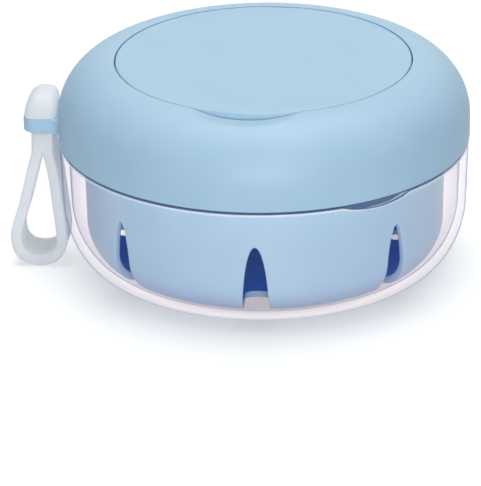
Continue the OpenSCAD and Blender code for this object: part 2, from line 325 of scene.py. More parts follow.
def repeated(obj, count, step_deg, finish):
    """obj repeated round the axis as one plain mesh."""

    def setup(target):
        modifier = target.modifiers.new("repeat", "NODES")
        modifier.node_group = REPEAT
        values = {"Count": count, "Step": math.radians(step_deg), "Merge Distance": SEAM}
        values["Finish"] = finish
        for item in REPEAT.interface.items_tree:
            if item.in_out == "INPUT" and item.name in values:
                modifier[item.identifier] = values[item.name]
        return modifier

    return modified(obj, setup)


print("Nodes in the repeating tree:", len(REPEAT.nodes))

# %% [markdown]
# ## Materials
# The case is made of polypropylene, clear polystyrene and silicone, with a glass mirror on
# foam tape. Each material starts from what the real one is and how it was moulded. Patterns
# read Object coordinates, which are metres here, so the scale of a noise is one over its
# real size.


# %% Colours and nodes
def linear(hex_colour):
    """An sRGB hex colour as linear RGBA."""
    parts = [int(hex_colour[i : i + 2], 16) / 255 for i in (1, 3, 5)]
    return [c / 12.92 if c <= 0.04045 else ((c + 0.055) / 1.055) ** 2.4 for c in parts] + [1]


def add(tree, kind, values=None, links=None, **settings):
    """Adds a node with its settings, socket values and incoming links."""
    node = tree.nodes.new(kind)
    for name, value in settings.items():
        setattr(node, name, value)
    for name, value in (values or {}).items():
        node.inputs[name].default_value = value
    for name, socket in (links or {}).items():
        tree.links.new(socket, node.inputs[name])
    return node


def new_material(name):
    """An empty node material and its Principled shader."""
    mat = bpy.data.materials.new(name)
    mat.use_nodes = True
    mat.node_tree.nodes.clear()
    return mat, mat.node_tree, add(mat.node_tree, "ShaderNodeBsdfPrincipled")


def shown(mat, last):
    """The material with its last shader joined to its output."""
    add(mat.node_tree, "ShaderNodeOutputMaterial", links={"Surface": last.outputs[0]})
    return mat


def noise(tree, size_mm, detail=2.0, roughness=0.5):
    """Noise whose features have about this real size."""
    where = add(tree, "ShaderNodeTexCoord")
    values = {"Scale": 1 / (size_mm * MM), "Detail": detail, "Roughness": roughness}
    return add(tree, "ShaderNodeTexNoise", values, {"Vector": where.outputs["Object"]})


# A Mix node has sockets for every kind of value. These are the ones for colours.
MIX_A, MIX_B, MIX_RESULT = 6, 7, 2
print("Mid blue in linear light:", [round(c, 3) for c in linear("#B4D2E6")[:3]])


# %% Moulded plastics
DRIFT_MM, DRIFT_FROM, DRIFT_TO = 14, 0.35, 0.65
GRAIN_MM, GRAIN_SPREAD, PEEL_STRENGTH, SOFT_WEIGHT = 0.5, 0.04, 0.6, 0.6
POLYPROPYLENE_IOR, SILICONE_IOR, FOAM_IOR = 1.49, 1.41, 1.45
BASKET_BLUES = ("#A9C4D2", "#A5C0CF")


def moulded_plastic(name, light, dark, roughness, ior, peel_mm, peel_height_mm, soft_mm=0.0):
    """An injection-moulded plastic: a slight drift of colour in the melt, a fine mould
    texture that scatters the highlight, and light that soaks in by soft_mm, if it is set."""
    mat, tree, shader = new_material(name)
    drift = noise(tree, DRIFT_MM, 2.0)
    ramp = add(tree, "ShaderNodeValToRGB", links={"Fac": drift.outputs["Fac"]})
    ends = zip(ramp.color_ramp.elements, (DRIFT_FROM, DRIFT_TO), (dark, light))
    for point, where, colour in ends:
        point.position, point.color = where, linear(colour)
    tree.links.new(ramp.outputs["Color"], shader.inputs["Base Color"])
    grain = noise(tree, GRAIN_MM, 3.0)
    rough = add(
        tree, "ShaderNodeMapRange",
        {"To Min": roughness - GRAIN_SPREAD, "To Max": roughness + GRAIN_SPREAD},
        {"Value": grain.outputs["Fac"]},
    )  # fmt: skip
    tree.links.new(rough.outputs["Result"], shader.inputs["Roughness"])
    peel = noise(tree, peel_mm, 1.0)
    bump = add(
        tree, "ShaderNodeBump", {"Strength": PEEL_STRENGTH, "Distance": peel_height_mm * MM},
        {"Height": peel.outputs["Fac"]},
    )  # fmt: skip
    tree.links.new(bump.outputs["Normal"], shader.inputs["Normal"])
    shader.inputs["IOR"].default_value = ior
    if soft_mm:
        shader.inputs["Subsurface Weight"].default_value = SOFT_WEIGHT
        shader.inputs["Subsurface Radius"].default_value = (1.0, 1.0, 1.0)
        shader.inputs["Subsurface Scale"].default_value = soft_mm * MM
    return shown(mat, shader)


lid_plastic = moulded_plastic(
    "moulded_polypropylene_pale_blue", "#B3D1E5", "#AFCEE3", 0.5, POLYPROPYLENE_IOR, 2.2, 0.004
)
basket_plastic = moulded_plastic(
    "moulded_polypropylene_basket_blue", *BASKET_BLUES, 0.4, POLYPROPYLENE_IOR, 2.0, 0.004
)
# The basket's inner faces, whose colour is painted deeper blue as painted shade where the shut case
# encloses them.
painted_shade_basket_inside = moulded_plastic(
    "moulded_polypropylene_basket_inside", *BASKET_BLUES, 0.4, POLYPROPYLENE_IOR, 2.0, 0.004
)
# Painted shade: a dark navy that stands for the shade in the gap between the lid and the rim, on
# the flange's outer edge and on the grip behind the notch.
basket_painted_shade = moulded_plastic(
    "moulded_polypropylene_basket_painted_shade", "#4F678C", "#4B6388", 0.4, POLYPROPYLENE_IOR, 2.0, 0.004
)
strap_silicone = moulded_plastic(
    "moulded_silicone_white", "#FAF9FA", "#F7F6F8", 0.5, SILICONE_IOR, 1.6, 0.006, soft_mm=2.0
)
seal_silicone = moulded_plastic(
    "moulded_silicone_seal", "#EDEDEB", "#E6E6E4", 0.55, SILICONE_IOR, 1.0, 0.004, soft_mm=0.6
)
pad_foam = moulded_plastic(
    "acrylic_foam_tape", "#D9D9D2", "#C8C8C0", 0.85, FOAM_IOR, 0.3, 0.05
)
print("Plastics:", [m.name for m in bpy.data.materials if m.name.startswith("moulded")])

# %% [markdown]
# The basket's wall and the strap are thin enough for light to come through. The shut case is lit by
# little more than that light, so through its slots the basket looks deep blue inside, while the
# open basket is as pale inside as out. An Ambient Occlusion node tells how much of the sky a point
# can see, and the basket's inner faces are painted a deeper blue, as painted shade, where it sees
# little.

# %% Light through thin walls
SHUT_REACH_MM, SHUT_SKY, OPEN_SKY = 120, 0.04, 0.13
THROUGH_OPEN, THROUGH_SHUT = 0.1, 0.55


def node_of(mat, kind):
    """The first node of this kind in a material."""
    return next(n for n in mat.node_tree.nodes if n.bl_idname == kind)


def let_light_through(mat, colour, share=None):
    """Light comes through a thin wall in this colour, added to the light that is thrown
    back or, with share, instead of that share of it."""
    tree, shader = mat.node_tree, node_of(mat, "ShaderNodeBsdfPrincipled")
    through = add(tree, "ShaderNodeBsdfTranslucent", {"Color": linear(colour)})
    kind = "ShaderNodeMixShader" if share else "ShaderNodeAddShader"
    first, second = (1, 2) if share else (0, 1)
    both = add(
        tree, kind, {"Fac": share} if share else {},
        {first: shader.outputs[0], second: through.outputs[0]},
    )  # fmt: skip
    out = node_of(mat, "ShaderNodeOutputMaterial")
    tree.links.new(both.outputs[0], out.inputs["Surface"])


def paint_shade_where_shut(mat, deep):
    """Painted shade: the colour is painted deeper, and more of the light comes through, where less
    than OPEN_SKY of the sky is in reach, fully at SHUT_SKY."""
    tree, shader = mat.node_tree, node_of(mat, "ShaderNodeBsdfPrincipled")
    sky = add(tree, "ShaderNodeAmbientOcclusion", {"Distance": SHUT_REACH_MM * MM}, samples=8)
    share = add(
        tree, "ShaderNodeMapRange", {"From Min": SHUT_SKY, "From Max": OPEN_SKY},
        {"Value": sky.outputs["AO"]},
    )  # fmt: skip
    pale = shader.inputs["Base Color"].links[0].from_socket
    colour = add(
        tree, "ShaderNodeMix", {MIX_A: linear(deep)},
        {"Factor": share.outputs["Result"], MIX_B: pale}, data_type="RGBA",
    )  # fmt: skip
    tree.links.new(colour.outputs[MIX_RESULT], shader.inputs["Base Color"])
    through = add(
        tree, "ShaderNodeMapRange", {"To Min": THROUGH_SHUT, "To Max": THROUGH_OPEN},
        {"Value": share.outputs["Result"]},
    )  # fmt: skip
    mixed = node_of(mat, "ShaderNodeMixShader")
    tree.links.new(through.outputs["Result"], mixed.inputs["Fac"])


let_light_through(basket_plastic, "#365870")
let_light_through(painted_shade_basket_inside, "#00B2FF", share=THROUGH_SHUT)
# The deep blue painted shade of the shut basket's inside.
paint_shade_where_shut(painted_shade_basket_inside, "#46AEFF")
let_light_through(strap_silicone, "#FFFFFF", share=0.4)
print("Nodes in the basket's inside:", len(painted_shade_basket_inside.node_tree.nodes))


# %% Clear plastic
# Colours of the light that comes through, from a wall seen straight to one seen along its face
CLEAR_TINTS = [(0.0, "#FEFEFF"), (0.45, "#FDFCFE"), (0.6, "#FBF9FB"), (0.86, "#F9F7FA"),
               (0.92, "#C8C3DC"), (1.0, "#8079A4")]  # fmt: skip
CLEAR_HAZE = {"From Min": 0.55, "From Max": 0.95, "To Min": 0.004, "To Max": 0.16}
CLEAR_GLOSS, GLOSS_POWER = {"To Min": 0.008, "To Max": 0.3}, 5.0
CLEAR_PEEL_MM, CLEAR_PEEL_HEIGHT_MM, CLEAR_PEEL_STRENGTH = 6.0, 0.006, 0.5
SHADE_Z0, SHADE_Z1, SHADE_COLOURS = 1, 9, ("#DEDBE6", "#FEFEFF")


def clear_plastic():
    """Injection-moulded polystyrene: clear and glossy. The wall is thin, so what is behind
    it is seen straight. Seen along its face, the light has a longer way through the plastic,
    which turns it milky lilac and, right at an outline, purple-grey. The thick rounded
    bottom sends lamplight elsewhere, so it casts more shade than the wall above it."""
    mat, tree, shader = new_material("clear_polystyrene")
    peel = noise(tree, CLEAR_PEEL_MM, 1.0)
    bump = add(
        tree, "ShaderNodeBump",
        {"Strength": CLEAR_PEEL_STRENGTH, "Distance": CLEAR_PEEL_HEIGHT_MM * MM},
        {"Height": peel.outputs["Fac"]},
    )  # fmt: skip
    along = add(tree, "ShaderNodeLayerWeight", {"Blend": 0.5}).outputs["Facing"]
    tint = add(tree, "ShaderNodeValToRGB", links={"Fac": along})
    points = tint.color_ramp.elements
    for where, _ in CLEAR_TINTS[1:-1]:
        points.new(where)
    for point, (where, colour) in zip(points, CLEAR_TINTS):
        point.position, point.color = where, linear(colour)
    clear = add(tree, "ShaderNodeBsdfTransparent", links={"Color": tint.outputs["Color"]})
    shader.inputs["Base Color"].default_value = linear("#F1EEF6")
    shader.inputs["Roughness"].default_value = 0.35
    haze = add(tree, "ShaderNodeMapRange", CLEAR_HAZE, {"Value": along})
    milky = add(
        tree, "ShaderNodeMixShader", {},
        {"Fac": haze.outputs["Result"], 1: clear.outputs[0], 2: shader.outputs[0]},
    )  # fmt: skip
    shine = add(
        tree, "ShaderNodeBsdfGlossy", {"Roughness": 0.04}, {"Normal": bump.outputs["Normal"]}
    )
    steep = add(tree, "ShaderNodeMath", {1: GLOSS_POWER}, {0: along}, operation="POWER")
    gloss = add(tree, "ShaderNodeMapRange", CLEAR_GLOSS, {"Value": steep.outputs[0]})
    seen = add(
        tree, "ShaderNodeMixShader", {},
        {"Fac": gloss.outputs["Result"], 1: milky.outputs[0], 2: shine.outputs[0]},
    )  # fmt: skip
    where = add(tree, "ShaderNodeTexCoord")
    height = add(tree, "ShaderNodeSeparateXYZ", links={"Vector": where.outputs["Object"]})
    span = add(
        tree, "ShaderNodeMapRange", {"From Min": SHADE_Z0 * MM, "From Max": SHADE_Z1 * MM},
        {"Value": height.outputs["Z"]},
    )  # fmt: skip
    shade = add(tree, "ShaderNodeValToRGB", links={"Fac": span.outputs["Result"]})
    for point, colour in zip(shade.color_ramp.elements, SHADE_COLOURS):
        point.color = linear(colour)
    path = add(tree, "ShaderNodeLightPath")
    lit = add(tree, "ShaderNodeBsdfTransparent", links={"Color": shade.outputs["Color"]})
    last = add(
        tree, "ShaderNodeMixShader", {},
        {"Fac": path.outputs["Is Camera Ray"], 1: lit.outputs[0], 2: seen.outputs[0]},
    )  # fmt: skip
    return shown(mat, last)


def rim_painted_light(name, colour, haze):
    """The rim's polished edge, painted with a light or dark colour, as painted highlight or painted
    shade, that partly hides what is behind it."""
    mat, tree, shader = new_material(name)
    grain = noise(tree, 3.0, 1.0)
    rough = add(
        tree, "ShaderNodeMapRange", {"To Min": 0.1, "To Max": 0.2}, {"Value": grain.outputs["Fac"]}
    )
    tree.links.new(rough.outputs["Result"], shader.inputs["Roughness"])
    shader.inputs["Base Color"].default_value = linear(colour)
    clear = add(tree, "ShaderNodeBsdfTransparent", {"Color": linear(colour)})
    both = add(
        tree, "ShaderNodeMixShader", {"Fac": haze}, {1: clear.outputs[0], 2: shader.outputs[0]}
    )
    return shown(mat, both)


bowl_plastic = clear_plastic()
# Painted highlight on the rim's outer face and painted shade on its top, for the bright and dark
# lines at the parting.
rim_painted_highlight = rim_painted_light("clear_polystyrene_rim_painted_highlight", "#FBFCFF", 0.75)
rim_painted_shade = rim_painted_light("clear_polystyrene_rim_painted_shade", "#8C9CBC", 0.3)
print("Nodes in the clear plastic:", len(bowl_plastic.node_tree.nodes))


# %% Silvered glass
def silvered_glass():
    """A glass mirror, silvered on its back: a bright metal layer under a hard clear coat."""
    mat, tree, shader = new_material("silvered_glass")
    shader.inputs["Base Color"].default_value = linear("#E4E9EB")
    shader.inputs["Metallic"].default_value = 1.0
    shader.inputs["Coat Weight"].default_value = 0.5
    smear = noise(tree, 9.0, 3.0)
    rough = add(
        tree, "ShaderNodeMapRange", {"To Min": 0.02, "To Max": 0.05},
        {"Value": smear.outputs["Fac"]},
    )  # fmt: skip
    tree.links.new(rough.outputs["Result"], shader.inputs["Roughness"])
    return shown(mat, shader)


mirror_glass = silvered_glass()
print("Materials:", len(bpy.data.materials))

# %% [markdown]
# ## The bowl
# The outer bowl is one clear moulding: a flat floor, a rounded corner and a wall that leans
# in a little. A thin lip stands round its rim, so that the basket's flange drops in flush.
# A shallow arc is cut from the rim as a finger notch. It is a turned shape, so its section
# is swept, and the notch presses the few rim points under it down to the arc.

# %% Bowl
BOWL_LEAN, BOWL_CORNER_W, BOWL_CORNER_H, CORNER_STEPS = 0.5, 11.7, 17.0, 28
# The notch presses down points above NOTCH_LOW. The rim's painted highlight and painted shade are
# RIM_LINE high.
NOTCH_LOW, RIM_LINE, RIM_MARGIN, FACES_UP = 28.5, 0.6, 0.05, 0.6
# How far the leaning wall stands in from the rim at those two heights
IN_AT_NOTCH, IN_AT_LINE = 0.1, 0.01
NOTCH_BALL = ((NOTCH_W / 2) ** 2 + NOTCH_DEPTH**2) / (2 * NOTCH_DEPTH)


def in_notch(x, y, z, i):
    """Moves a rim point down with the arc of the finger notch."""
    a = math.radians(NOTCH_ANGLE)
    along = x * math.cos(a) + y * math.sin(a)
    across = y * math.cos(a) - x * math.sin(a)
    if along < 0 or abs(across) > NOTCH_W / 2:
        return x, y, z
    floor = BOWL_RIM_Z - NOTCH_DEPTH + NOTCH_BALL - math.sqrt(NOTCH_BALL**2 - across**2)
    if math.hypot(x, y) < BOWL_R - RIM_LIP:
        return x, y, min(z, floor)
    share = min(1.0, max(0.0, (z - NOTCH_LOW) / (BOWL_RIM_Z - NOTCH_LOW)))
    return x, y, z - (BOWL_RIM_Z - floor) * share


def bowl_section():
    """The closed section of the bowl's wall."""
    low_r, inner_r = BOWL_R - BOWL_LEAN, BOWL_R - BOWL_WALL
    corner_r = low_r - BOWL_CORNER_W
    outer = quarter(corner_r, 0, BOWL_CORNER_W, BOWL_CORNER_H, CORNER_STEPS)
    inner_h = BOWL_CORNER_H - BOWL_FLOOR
    inner = quarter(corner_r - BOWL_WALL, BOWL_FLOOR, BOWL_CORNER_W, inner_h, CORNER_STEPS)
    side = [(BOWL_R - IN_AT_NOTCH, NOTCH_LOW), (BOWL_R - IN_AT_LINE, BOWL_RIM_Z - RIM_LINE)]
    rim = [*side, (BOWL_R, BOWL_RIM_Z, 0.3), (BOWL_R - RIM_LIP, BOWL_RIM_Z, 0.25)]
    seat = [(BOWL_R - RIM_LIP, SEAT_Z), (inner_r, SEAT_Z, 0.3)]
    return rounded([(0, 0), *outer, *rim, *seat, *reversed(inner), (0, BOWL_FLOOR)])


def notch_drop(middle):
    """How far the finger notch lowers the rim at a point."""
    x, y, z = in_notch(middle.x / MM, middle.y / MM, BOWL_RIM_Z, 0)
    return BOWL_RIM_Z - z


bowl = lathe("clear_bowl", bowl_section(), reshape=in_notch)
for mat in (bowl_plastic, rim_painted_highlight, rim_painted_shade):
    bowl.data.materials.append(mat)
# The rim's top band: painted shade where it faces up, a painted highlight on its outer face.
for face in bowl.data.polygons:
    height = face.center.z / MM + notch_drop(face.center)
    on_lip = face.center.xy.length / MM > BOWL_R - RIM_LIP - RIM_MARGIN
    if on_lip and height > BOWL_RIM_Z - RIM_LINE:
        face.material_index = 2 if face.normal.z > FACES_UP else 1
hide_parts("bowl")
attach(bowl, "bowl_body")
print("Bowl faces:", len(bowl.data.polygons))

# %% [markdown]
# ## The strainer basket
# The basket is a second, opaque tub that hangs in the bowl by a flange. Seven tall arches
# are cut through its side and run in under its floor, so that water drains from it. Cutting
# arches from a turned mesh leaves poor faces, so one slotted sector is woven as a grid that
# follows the arch, with a small round along its edge, and is then repeated seven times. A
# plain sector closes the wider space that is left at the back.

# %% Sizes of the basket
BASKET_LEAN, BASKET_CORNER_W, BASKET_CORNER_H = 0.4, 7.6, 9.0
SLOT_W, SLOT_H, SLOT_END_R, SLOT_EDGE, SLOT_END_ROUND = 6.3, 18.6, 30.5, 0.3, 1.5
SLOT_COUNT, SLOT_STEP, SLOT_ANGLE = 7, 49.0, 274.2
SECTOR_COLUMNS, COLUMN_SPREAD, EDGE_HALFWAY = 14, 1.25, 0.3 * SLOT_EDGE
FLOOR_RINGS, WALL_RINGS = (0, 8, 16, 24, 28), (21.0, 24.0, 27.0)
END_STEPS, BOTTOM_STEPS, ARCH_STEPS = 8, 18, 10
print("Plain sector at the back in degrees:", 360 - SLOT_COUNT * SLOT_STEP)


# %% Rows of the slotted sector
def basket_rows():
    """Rows from the floor's middle to above the arch: (outer point, inner point, slot half
    width at a height, or None where the wall is whole)."""
    low_r = BASKET_R - BASKET_LEAN
    corner_r = low_r - BASKET_CORNER_W
    floor_top = BASKET_Z + BASKET_WALL
    half = SLOT_W / 2

    def arch(z):
        return half * math.sqrt(max(0.0, 1 - ((z - BASKET_Z) / SLOT_H) ** 2))

    rows = [((r, BASKET_Z), (r, floor_top), None) for r in FLOOR_RINGS]
    rows.append(((SLOT_END_R - SLOT_EDGE, BASKET_Z), (SLOT_END_R - SLOT_EDGE, floor_top), None))
    for k in range(END_STEPS):
        a = math.pi / 2 * k / END_STEPS
        r = SLOT_END_R + SLOT_END_ROUND * (1 - math.cos(a))
        rows.append(((r, BASKET_Z), (r, floor_top), lambda z, a=a: half * math.sin(a)))
    outer = quarter(corner_r, BASKET_Z, BASKET_CORNER_W, BASKET_CORNER_H, BOTTOM_STEPS)
    inner_h = BASKET_CORNER_H - BASKET_WALL
    inner = quarter(corner_r - BASKET_WALL, floor_top, BASKET_CORNER_W, inner_h, BOTTOM_STEPS)
    rows += [(o, i, arch) for o, i in zip(outer, inner)]
    start = math.asin(BASKET_CORNER_H / SLOT_H)
    steps = [k / ARCH_STEPS for k in range(1, ARCH_STEPS + 1)]
    heights = [SLOT_H * math.sin(start + (math.pi / 2 - start) * t) for t in steps]
    wall_h = SEAT_Z - BASKET_Z - BASKET_CORNER_H
    for h in [*heights, SLOT_H + SLOT_EDGE, *WALL_RINGS]:
        r = low_r + BASKET_LEAN * (h - BASKET_CORNER_H) / wall_h
        z = BASKET_Z + h
        rows.append(((r, z), (r - BASKET_WALL, z), arch if h <= SLOT_H else None))
    return rows


ROWS = basket_rows()
print("Rows in the sector:", len(ROWS))


# %% Weave the sector
def half_sector(side, half_deg, slotted):
    """Vertices and faces of the half sector on one side (1 or -1) of its middle."""
    sector = math.radians(half_deg)
    verts, faces = [], []

    def point(r, z, angle):
        verts.append((r * math.cos(angle), side * r * math.sin(angle), z))
        return len(verts) - 1

    def across(r, z, w):
        """A row of points from the slot's edge, or the middle, to the sector's border."""
        first = math.asin(min(1.0, w / r)) if r > 0 else 0.0
        spread = [(j / SECTOR_COLUMNS) ** COLUMN_SPREAD for j in range(SECTOR_COLUMNS + 1)]
        return [point(r, z, first + (sector - first) * f) for f in spread]

    def strip(a, b):
        for j in range(len(a) - 1):
            faces.append((a[j], a[j + 1], b[j + 1], b[j]))

    outer_rows, inner_rows, edges = [], [], []
    for outer, inner, arch in ROWS:
        arch = arch if slotted else None
        deep = math.dist(outer, inner)
        depths = [0, EDGE_HALFWAY, SLOT_EDGE]
        depths += [deep - d for d in reversed(depths)]
        flare = [SLOT_EDGE, EDGE_HALFWAY, 0.0, 0.0, EDGE_HALFWAY, SLOT_EDGE]
        wide = (arch(outer[1]) + SLOT_EDGE, arch(inner[1]) + SLOT_EDGE) if arch else (0, 0)
        outer_rows.append(across(*outer, wide[0]))
        inner_rows.append(across(*inner, wide[1]))
        edge = [outer_rows[-1][0]] * 3 + [inner_rows[-1][0]] * 3
        if arch:
            for k in range(1, 5):
                t = depths[k] / deep
                r = outer[0] + (inner[0] - outer[0]) * t
                z = outer[1] + (inner[1] - outer[1]) * t
                edge[k] = point(r, z, math.asin((arch(z) + flare[k]) / r))
            edge[0], edge[5] = outer_rows[-1][0], inner_rows[-1][0]
        edges.append((edge, arch is not None))
    for rows in (outer_rows, inner_rows):
        for a, b in zip(rows, rows[1:]):
            strip(a, b)
    for (a, slot_a), (b, slot_b) in zip(edges, edges[1:]):
        if not (slot_a or slot_b):
            continue
        for k in range(5):
            if k != 2 or (slot_a and slot_b):
                faces.append((a[k], a[k + 1], b[k + 1], b[k]))
    flange = [
        (ROWS[-1][0]),
        (BASKET_R, SEAT_Z, 0.25),
        (FLANGE_R, SEAT_Z, 0.15),
        (FLANGE_R, FLANGE_TOP, 0.35),
        (BASKET_R - BASKET_WALL, FLANGE_TOP, 0.4),
        (ROWS[-1][1]),
    ]
    cap = [across(r, z, 0) for r, z in rounded(flange)[1:-1]]
    chain = [outer_rows[-1], *cap, inner_rows[-1]]
    for a, b in zip(chain, chain[1:]):
        strip(a, b)
    return verts, faces


def whole_sector(name, half_deg, slotted, middle_deg):
    """Both halves of a sector, turned to its direction."""
    verts, faces = [], []
    for side in (1, -1):
        new_verts, new_faces = half_sector(side, half_deg, slotted)
        faces += [tuple(i + len(verts) for i in f) for f in new_faces]
        verts += new_verts
    turn = Matrix.Rotation(math.radians(middle_deg), 3, "Z")
    verts = [tuple(turn @ Vector(v)) for v in verts]
    faces = [tuple(dict.fromkeys(f)) for f in faces]
    return finish_mesh(name, verts, [f for f in faces if len(f) > 2])


# %% The whole basket
PAINTED_SHADE_MARGIN, FACING = 0.4, 0.3
first_slot = SLOT_ANGLE - SLOT_STEP * (SLOT_COUNT - 1) / 2
slotted = whole_sector("strainer_basket", SLOT_STEP / 2, True, first_slot)
plain_half = 180 - SLOT_COUNT * SLOT_STEP / 2
plain = whole_sector("plain_sector", plain_half, False, SLOT_ANGLE + 180)
basket = resharpened(repeated(slotted, SLOT_COUNT, SLOT_STEP, basket_plastic), plain)
basket.data.materials.clear()
for mat in (basket_plastic, painted_shade_basket_inside, basket_painted_shade):
    basket.data.materials.append(mat)
for face in basket.data.polygons:
    middle, way = face.center, face.normal
    face.material_index = 0
    outward = (way.x * middle.x + way.y * middle.y) / max(middle.xy.length, MM)
    # The flange's outer edge gets the painted shade.
    if outward > FACING and middle.xy.length / MM > FLANGE_R - PAINTED_SHADE_MARGIN:
        face.material_index = 2
    # Inner faces and faces that look up, below the seat, get the inside material with its painted
    # shade.
    elif middle.z / MM < SEAT_Z and (outward < -FACING or way.z > FACING):
        face.material_index = 1
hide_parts("basket")
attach(basket, "basket_body")
print("Basket faces:", len(basket.data.polygons))


# %% [markdown]
# Behind the bowl's notch the flange carries a lifting grip. It is an arc-shaped block with softened
# edges. The part of its face that the notch lays open gets the same painted shade as the flange's
# outer edge: a dark colour that stands for the shade between the lid and the rim.

# %% Lifting grip of the basket
GRIP_H, GRIP_FIT, GRIP_STEPS, GRIP_EDGE, GRIP_SHARP_DEG = 2.2, 0.6, 24, 0.3, 40
GRIP_SINK, GRIP_LIFT, GRIP_MARGIN = 0.8, 0.3, 0.1
GRIP_R0, GRIP_R1 = BASKET_R - GRIP_SINK, BOWL_R - BOWL_WALL - GRIP_FIT
GRIP_Z0, GRIP_Z1 = SEAT_Z - GRIP_H, SEAT_Z + GRIP_LIFT
GRIP_CLEAR = GRIP_EDGE + GRIP_MARGIN
grip_half_deg = math.degrees(math.asin(NOTCH_W / 2 / BASKET_R))


def open_to_notch(angle):
    """The height on the grip's face above which it is seen through the finger notch."""
    x, y = BOWL_R * math.cos(angle), BOWL_R * math.sin(angle)
    sight_fall = (BOWL_R - GRIP_R1) * math.tan(math.radians(ELEVATION))
    height = in_notch(x, y, BOWL_RIM_Z, 0)[2] - sight_fall
    return min(GRIP_Z1 - GRIP_CLEAR, max(GRIP_Z0 + GRIP_CLEAR, height))


def grip_mesh():
    """A closed block along an arc, with painted shade as a second material on its face behind the
    notch.
    """
    verts, faces = [], []
    for k in range(GRIP_STEPS + 1):
        a = math.radians(NOTCH_ANGLE + grip_half_deg * (2 * k / GRIP_STEPS - 1))
        section = [(GRIP_R0, GRIP_Z0), (GRIP_R1, GRIP_Z0), (GRIP_R1, open_to_notch(a)),
                   (GRIP_R1, GRIP_Z1), (GRIP_R0, GRIP_Z1)]  # fmt: skip
        verts += [(r * math.cos(a), r * math.sin(a), z) for r, z in section]
        size = len(section)
        if k:
            last, here = size * (k - 1), size * k
            for j in range(size):
                n = (j + 1) % size
                faces.append((last + j, last + n, here + n, here + j))
    faces += [tuple(range(size)), tuple(size * GRIP_STEPS + j for j in range(size))]
    block = finish_mesh("basket_grip", verts, faces)
    for mat in (basket_plastic, basket_painted_shade):
        block.data.materials.append(mat)
    for face in block.data.polygons:
        x, y, z = face.center / MM
        on_front = math.hypot(x, y) > GRIP_R1 - GRIP_MARGIN and abs(face.normal.z) < FACING
        # The part of the grip's face that is seen through the notch gets the painted shade.
        if on_front and notch_drop(face.center) and z > open_to_notch(math.atan2(y, x)):
            face.material_index = 1
    return resharpened(softened(block, GRIP_EDGE, GRIP_SHARP_DEG))


grip = grip_mesh()
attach(grip, "basket_body")
print("Grip half angle:", round(grip_half_deg, 1))

# %% [markdown]
# ## The lid
# The lid is a domed shell with an upright side and one round shoulder. A round recess in its
# top holds the flip cover. In front of it a finger scoop, part of a large sphere, dips
# from the cover's edge over the shoulder. The lid is swept like the bowl, and the scoop
# lowers the points above that sphere, blended so that its outer border is soft.

# %% The scoop's sphere
SCOOP_W, SCOOP_DEPTH, SCOOP_REACH, SCOOP_SKIN, SCOOP_BLEND = 25.8, 1.7, 5.4, 1.6, 0.35
ARC_R = LID_R - SHOULDER_R
scoop_end_r = RECESS_R + SCOOP_REACH
scoop_end_z = math.sqrt(SHOULDER_R**2 - (scoop_end_r - ARC_R) ** 2) - SHOULDER_R
scoop_side_y = math.sqrt(RECESS_R**2 - (SCOOP_W / 2) ** 2)
scoop_fall = scoop_end_z + SCOOP_DEPTH
scoop_rise = (RECESS_R - scoop_side_y) / SCOOP_DEPTH
scoop_squares = scoop_end_r**2 - RECESS_R**2 + scoop_end_z**2 - SCOOP_DEPTH**2
SCOOP_Y = (scoop_squares + SCOOP_DEPTH * scoop_fall) / (
    2 * SCOOP_REACH + 2 * scoop_fall * scoop_rise
)
SCOOP_Z = SCOOP_Y * scoop_rise - SCOOP_DEPTH / 2
SCOOP_BALL = math.hypot(RECESS_R - SCOOP_Y, SCOOP_DEPTH + SCOOP_Z)


def scoop_floor(x, y):
    """Height of the scoop's sphere over a point, or None beside it."""
    reach = SCOOP_BALL**2 - x**2 - (y + SCOOP_Y) ** 2
    return TOP_Z + SCOOP_Z - math.sqrt(reach) if reach > 0 and y < 0 else None


def soft_least(a, b, width):
    """The lesser of a and b, blended where they are within width of each other."""
    h = min(1.0, max(0.0, 0.5 + 0.5 * (b - a) / width))
    return a * h + b * (1 - h) - width * h * (1 - h)


print("Radius of the scoop's sphere in mm:", round(SCOOP_BALL, 1))

# %% Lid shell
SKIRT_R, SKIRT_T, SKIRT_REACH = 42.1, 1.4, 2.8
LEDGE_Z, TRAY_R, TRAY_Z, TRAY_WALL = 49.0, 34.6, 46.1, 1.6
SHOULDER_STEPS, ROOF_STEPS, SIDE_STEPS, SHOULDER_END_DEG = 72, 8, 24, 89


